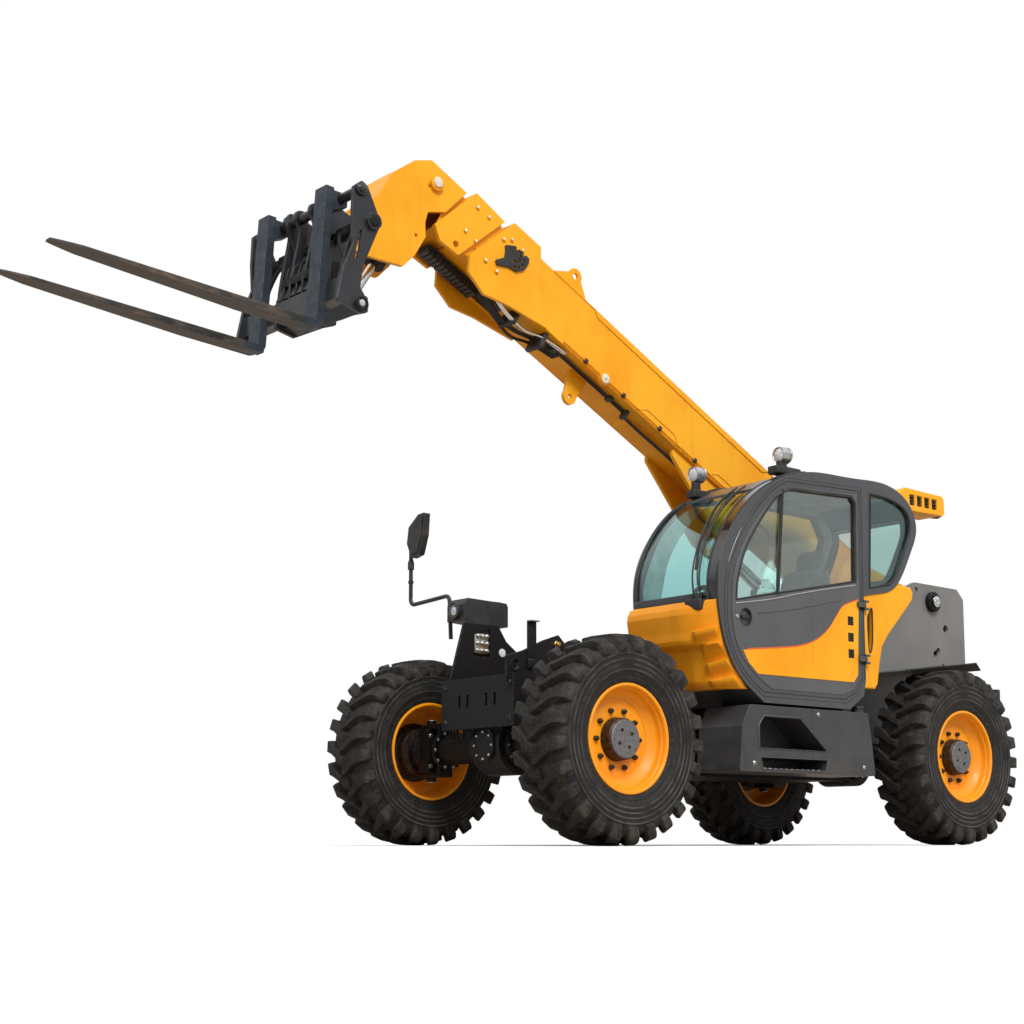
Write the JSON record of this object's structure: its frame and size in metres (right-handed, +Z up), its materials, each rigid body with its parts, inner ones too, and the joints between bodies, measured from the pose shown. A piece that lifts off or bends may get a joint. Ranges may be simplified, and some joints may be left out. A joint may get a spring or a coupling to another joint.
{
  "type": "telehandler",
  "caption": "Telehandler with a telescopic boom that lifts, extends and carries tilting pallet forks, a glazed cab and steered wheels at both ends.",
  "frame": {"origin": "on the ground under the middle of the bounding box of the whole machine, forks included", "axes": "+X towards the forks, +Y to the driver's left, +Z up"},
  "size_m": [8.473, 2.495, 4.6187],
  "materials": {
    "painted_orange": "gloss",
    "painted_black": "satin",
    "painted_grey": "satin",
    "tyre_rubber": "matt",
    "glass": "clear",
    "chrome": "polished",
    "seat_fabric": "woven",
    "black_plastic": "matt",
    "fork_steel": "rolled",
    "cast_grey": "cast",
    "orange_panel": "gloss"
  },
  "bodies": {
    "chassis": {"chassis_frame": "painted_black", "tower_left": "painted_grey", "tower_right": "painted_grey", "tower_pins": "painted_grey", "counterweight": "painted_grey", "engine_block": "cast_grey", "front_axle": "painted_black", "rear_axle": "painted_black", "step_box": "painted_black", "rear_fenders": "painted_grey", "cab_frame": "painted_grey", "cab_glass": "glass", "cab_panels": "orange_panel", "dashboard": "black_plastic", "driver_seat": "seat_fabric", "lamps": "black_plastic"},
    "door": {"door_panel": "painted_orange", "door_glass": "glass"},
    "hood": {"engine_hood": "orange_panel"},
    "base_boom": {"boom_base": "painted_orange", "boom_fittings": "painted_black"},
    "middle_boom": {"boom_middle": "painted_orange"},
    "head_boom": {"boom_head": "painted_orange"},
    "lift_barrel": {"lift_barrel": "painted_black"},
    "lift_rod": {"lift_rod": "chrome"},
    "tilt_barrel": {"tilt_barrel": "painted_black"},
    "tilt_rod": {"tilt_rod": "chrome"},
    "carriage": {"fork_carriage": "painted_black", "forks": "fork_steel"},
    "knuckle_front_left": {"knuckle_front_left": "painted_black"},
    "wheel_front_left": {"tyre_front_left": "tyre_rubber", "rim_front_left": "painted_orange", "hub_front_left": "cast_grey"},
    "knuckle_front_right": {"knuckle_front_right": "painted_black"},
    "wheel_front_right": {"tyre_front_right": "tyre_rubber", "rim_front_right": "painted_orange", "hub_front_right": "cast_grey"},
    "knuckle_rear_left": {"knuckle_rear_left": "painted_black"},
    "wheel_rear_left": {"tyre_rear_left": "tyre_rubber", "rim_rear_left": "painted_orange", "hub_rear_left": "cast_grey"},
    "knuckle_rear_right": {"knuckle_rear_right": "painted_black"},
    "wheel_rear_right": {"tyre_rear_right": "tyre_rubber", "rim_rear_right": "painted_orange", "hub_rear_right": "cast_grey"}
  },
  "joints": [
    {"name": "steer_front_left", "type": "hinge", "parent": "chassis", "child": "knuckle_front_left", "pos_m": [0.62393, 0.85, 0.675], "axis": [0, 0, 1], "range_deg": [-35, 35]},
    {"name": "spin_front_left", "type": "hinge", "parent": "knuckle_front_left", "child": "wheel_front_left", "pos_m": [0.62393, 1.025, 0.675], "axis": [0, 1, 0], "continuous": true},
    {"name": "steer_front_right", "type": "hinge", "parent": "chassis", "child": "knuckle_front_right", "pos_m": [0.62393, -0.85, 0.675], "axis": [0, 0, 1], "range_deg": [-35, 35]},
    {"name": "spin_front_right", "type": "hinge", "parent": "knuckle_front_right", "child": "wheel_front_right", "pos_m": [0.62393, -1.025, 0.675], "axis": [0, 1, 0], "continuous": true},
    {"name": "steer_rear_left", "type": "hinge", "parent": "chassis", "child": "knuckle_rear_left", "pos_m": [-2.97607, 0.85, 0.675], "axis": [0, 0, 1], "range_deg": [-35, 35]},
    {"name": "spin_rear_left", "type": "hinge", "parent": "knuckle_rear_left", "child": "wheel_rear_left", "pos_m": [-2.97607, 1.025, 0.675], "axis": [0, 1, 0], "continuous": true},
    {"name": "steer_rear_right", "type": "hinge", "parent": "chassis", "child": "knuckle_rear_right", "pos_m": [-2.97607, -0.85, 0.675], "axis": [0, 0, 1], "range_deg": [-35, 35]},
    {"name": "spin_rear_right", "type": "hinge", "parent": "knuckle_rear_right", "child": "wheel_rear_right", "pos_m": [-2.97607, -1.025, 0.675], "axis": [0, 1, 0], "continuous": true},
    {"name": "door_hinge", "type": "hinge", "parent": "chassis", "child": "door", "pos_m": [-1.81207, 1.188, 1.55], "axis": [0, 0, 1], "range_deg": [0, 85]},
    {"name": "hood_hinge", "type": "hinge", "parent": "chassis", "child": "hood", "pos_m": [-1.22607, -0.36, 1.432], "axis": [-1, 0, 0], "range_deg": [0, 55]},
    {"name": "boom_lift", "type": "hinge", "parent": "chassis", "child": "base_boom", "pos_m": [-3.77607, 0, 2.04], "axis": [0, -1, 0], "range_deg": [-29, 41]},
    {"name": "boom_extend", "type": "slide", "parent": "base_boom", "child": "middle_boom", "axis": [0.8926, 0, 0.4509], "range_m": [0, 3.2]},
    {"name": "head_extend", "type": "slide", "parent": "middle_boom", "child": "head_boom", "axis": [0.8926, 0, 0.4509], "range_m": [0, 3.2]},
    {"name": "lift_barrel_hinge", "type": "hinge", "parent": "chassis", "child": "lift_barrel", "pos_m": [-3.47607, 0, 1.15], "axis": [0, -1, 0], "range_deg": [-32, 42]},
    {"name": "lift_rod_slide", "type": "slide", "parent": "lift_barrel", "child": "lift_rod", "axis": [0.8567, 0, 0.5158], "range_m": [-0.5, 0.7]},
    {"name": "fork_tilt", "type": "hinge", "parent": "head_boom", "child": "carriage", "pos_m": [2.05664, 0, 3.97801], "axis": [0, -1, 0], "range_deg": [-50, 27]},
    {"name": "tilt_barrel_hinge", "type": "hinge", "parent": "head_boom", "child": "tilt_barrel", "pos_m": [1.39277, 0, 4.46275], "axis": [0, -1, 0], "range_deg": [-40, 40]},
    {"name": "tilt_rod_slide", "type": "slide", "parent": "tilt_barrel", "child": "tilt_rod", "axis": [0.5431, 0, -0.8397], "range_m": [-0.45, 0.3]}
  ],
  "couplings": [
    {"joint": "steer_front_right", "follows": "steer_front_left", "ratio": 1},
    {"joint": "steer_rear_right", "follows": "steer_rear_left", "ratio": 1},
    {"joint": "head_extend", "follows": "boom_extend", "ratio": 1},
    {"joint": "lift_barrel_hinge", "follows": "boom_lift", "ratio": 0.88134},
    {"joint": "lift_rod_slide", "follows": "boom_lift", "m_per_rad": 0.88111},
    {"joint": "tilt_barrel_hinge", "follows": "fork_tilt", "ratio": 0.32814},
    {"joint": "tilt_rod_slide", "follows": "fork_tilt", "m_per_rad": 0.33941}
  ]
}
